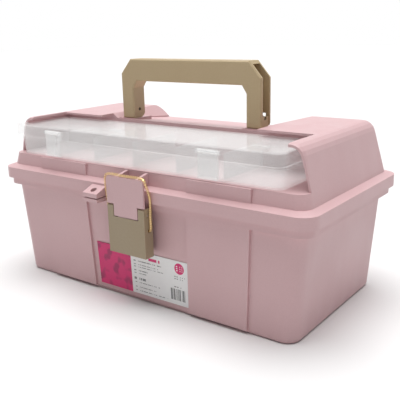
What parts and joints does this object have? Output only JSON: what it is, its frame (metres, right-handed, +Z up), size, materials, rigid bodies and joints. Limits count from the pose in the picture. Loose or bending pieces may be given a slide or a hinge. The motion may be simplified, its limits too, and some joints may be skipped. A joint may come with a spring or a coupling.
{
  "type": "sewing box with trays",
  "caption": "Portable sewing box: drafted tub, hinged lid with a draw latch, fold-down carrying handle, clear slide-out organizer in the lid and a lift-out tray inside.",
  "frame": {"origin": "on the resting face, under the middle of the tub", "axes": "+X along the box's length, -Y toward the latch side, +Z up"},
  "size_m": [0.363, 0.2076, 0.2215],
  "materials": {
    "pink_shell": "moulded polypropylene, satin, dusty pink",
    "tan_plastic": "moulded plastic, satin, khaki tan",
    "clear_plastic": "clear moulded plastic, slightly milky",
    "brass_wire": "bright brass-plated wire",
    "steel_pin": "plain steel pin",
    "label_paper": null
  },
  "bodies": {
    "tub": {"base_tub": "pink_shell", "front_label": "label_paper", "hinge_pin_left": "steel_pin", "hinge_pin_right": "steel_pin", "latch_pivot_pin": "steel_pin"},
    "lid": {"lid_shell": "pink_shell", "handle_pivot_pin_left": "steel_pin", "handle_pivot_pin_right": "steel_pin"},
    "handle": {"handle": "tan_plastic"},
    "latch_lever": {"latch_lever": "tan_plastic"},
    "latch_bail": {"latch_bail": "brass_wire"},
    "organizer": {"organizer_body": "clear_plastic", "organizer_lid": "clear_plastic", "organizer_divider_1": "clear_plastic", "organizer_divider_2": "clear_plastic", "organizer_divider_3": "clear_plastic", "organizer_divider_4": "clear_plastic", "organizer_divider_5": "clear_plastic", "organizer_hinge_pin_left": "steel_pin", "organizer_hinge_pin_right": "steel_pin"},
    "clasp_left": {"organizer_clasp_left": "clear_plastic"},
    "clasp_right": {"organizer_clasp_right": "clear_plastic"},
    "tray": {"lift_out_tray": "pink_shell"}
  },
  "joints": [
    {"name": "lid_open", "type": "hinge", "parent": "tub", "child": "lid", "pos_m": [0, 0.098, 0.103], "axis": [-1, 0, 0], "range_deg": [0, 105]},
    {"name": "handle_fold", "type": "hinge", "parent": "lid", "child": "handle", "pos_m": [0, 0.006, 0.1695], "axis": [-1, 0, 0], "range_deg": [0, 90]},
    {"name": "latch_lever_turn", "type": "hinge", "parent": "tub", "child": "latch_lever", "pos_m": [0.0036, -0.0956, 0.093], "axis": [-1, 0, 0], "range_deg": [0, 90]},
    {"name": "latch_bail_turn", "type": "hinge", "parent": "latch_lever", "child": "latch_bail", "pos_m": [0.0036, -0.0945, 0.0785], "axis": [-1, 0, 0], "range_deg": [-131, 0]},
    {"name": "organizer_slide", "type": "slide", "parent": "lid", "child": "organizer", "axis": [0, -1, 0], "range_m": [0, 0.072]},
    {"name": "clasp_left_turn", "type": "hinge", "parent": "organizer", "child": "clasp_left", "pos_m": [-0.104, -0.0845, 0.1542], "axis": [-1, 0, 0], "range_deg": [0, 75]},
    {"name": "clasp_right_turn", "type": "hinge", "parent": "organizer", "child": "clasp_right", "pos_m": [0.084, -0.0845, 0.1542], "axis": [-1, 0, 0], "range_deg": [0, 75]},
    {"name": "tray_lift", "type": "slide", "parent": "tub", "child": "tray", "axis": [0, 0, 1], "range_m": [0, 0.008]}
  ],
  "couplings": [
    {"joint": "latch_bail_turn", "follows": "latch_lever_turn", "ratio": -1.45}
  ]
}
